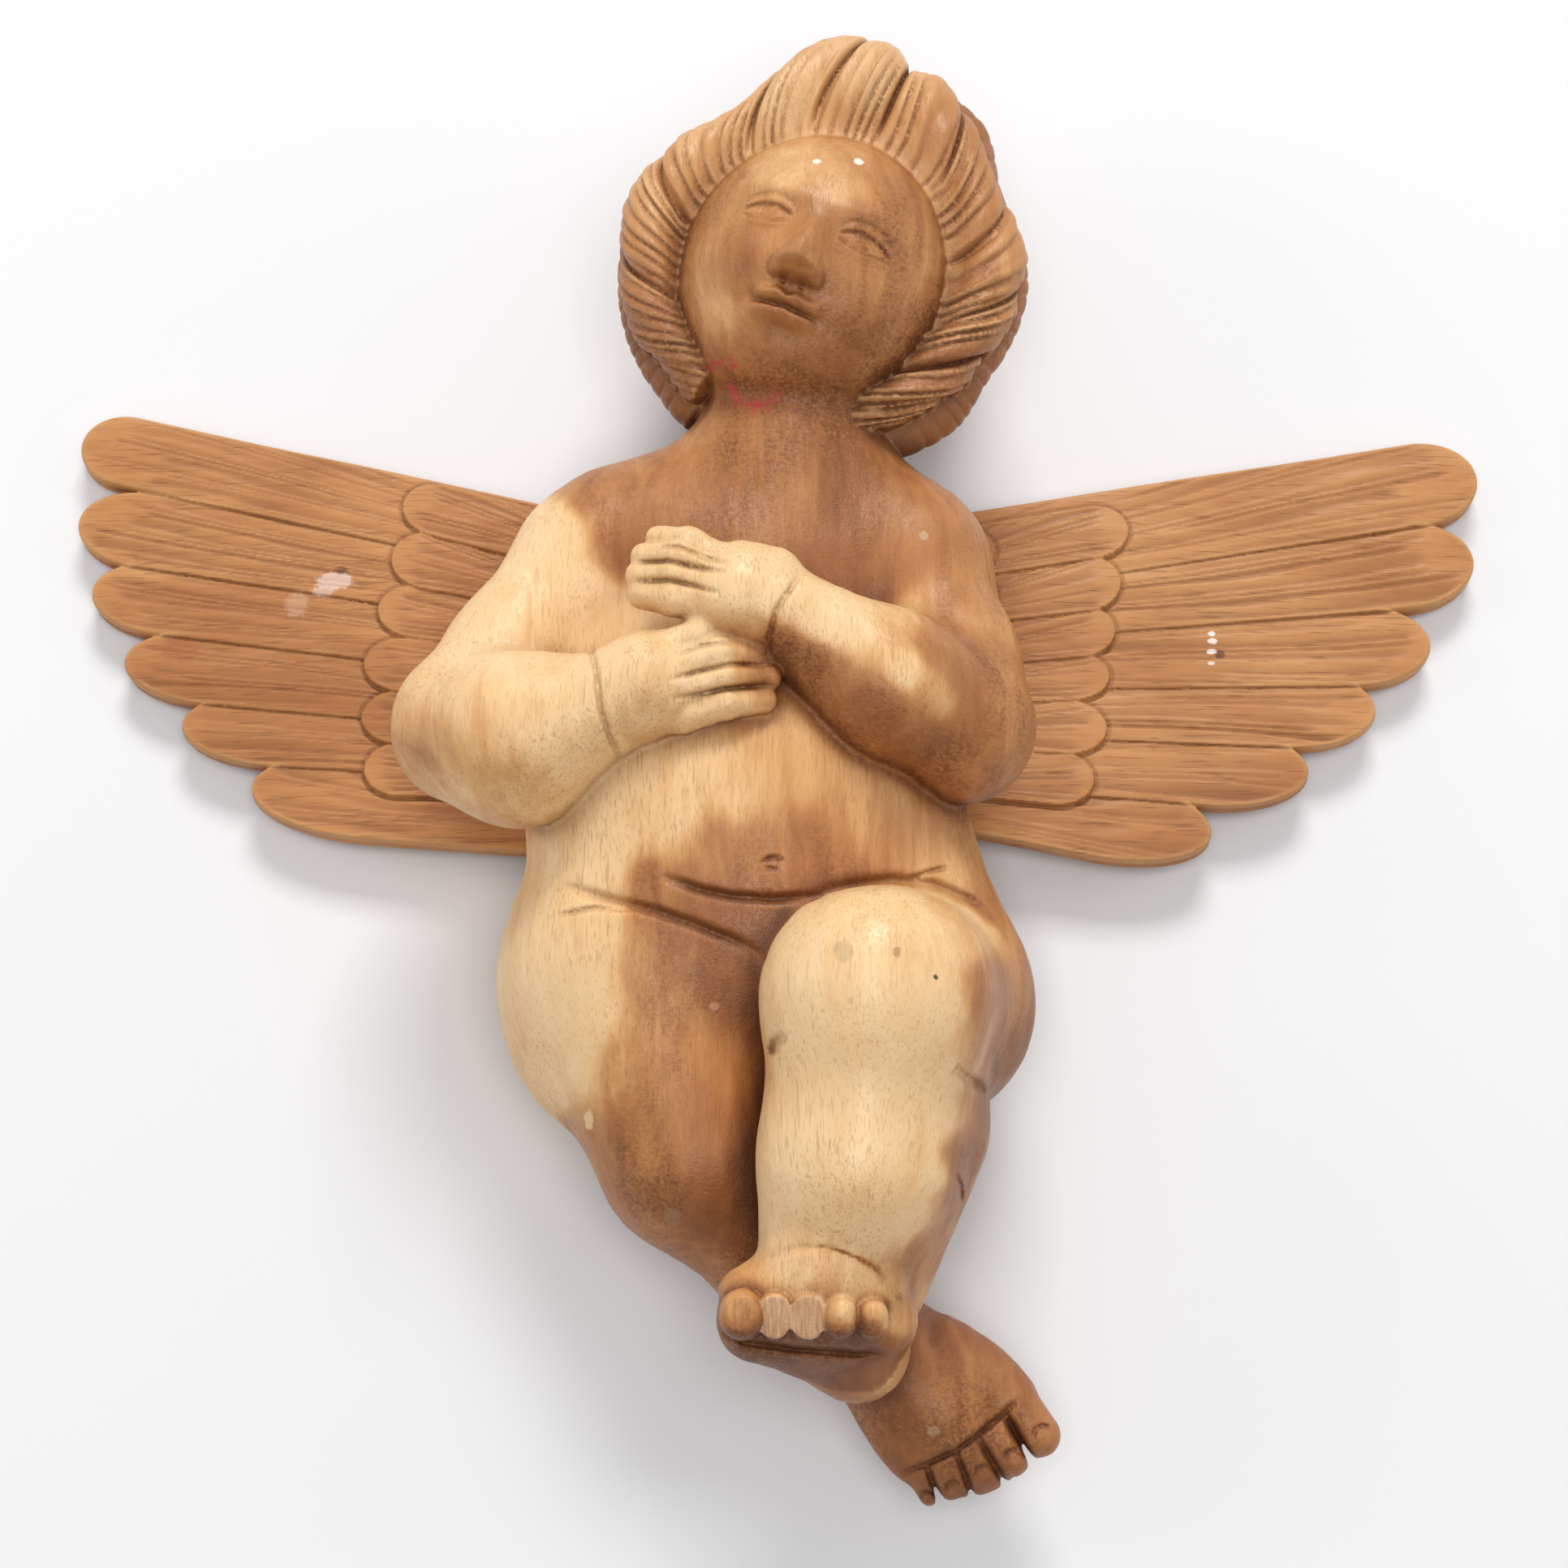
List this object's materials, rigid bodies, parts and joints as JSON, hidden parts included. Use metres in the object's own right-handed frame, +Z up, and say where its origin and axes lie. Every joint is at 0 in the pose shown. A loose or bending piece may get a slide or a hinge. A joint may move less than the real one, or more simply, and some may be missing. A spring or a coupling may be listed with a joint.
{
  "type": "wooden angel statue",
  "caption": "Hand-carved wooden putto lying on its flat back, arms folded and legs crossed, with two flat feathered wings let into its back.",
  "frame": {"origin": "middle of the whole piece's footprint, on the flat of its back where it lies on a table", "axes": "+Z up out of the chest, +Y towards the head, +X towards the figure's left wing (right in the picture)"},
  "size_m": [0.6002, 0.5935, 0.1608],
  "materials": {
    "figure_wood": "oiled pale sapwood and brown heartwood, satin, worn",
    "wing_wood": "brown board with gouged feathers, satin, scuffed"
  },
  "bodies": {
    "root": {"figure": "figure_wood", "wing_right": "wing_wood", "wing_left": "wing_wood"}
  },
  "joints": []
}
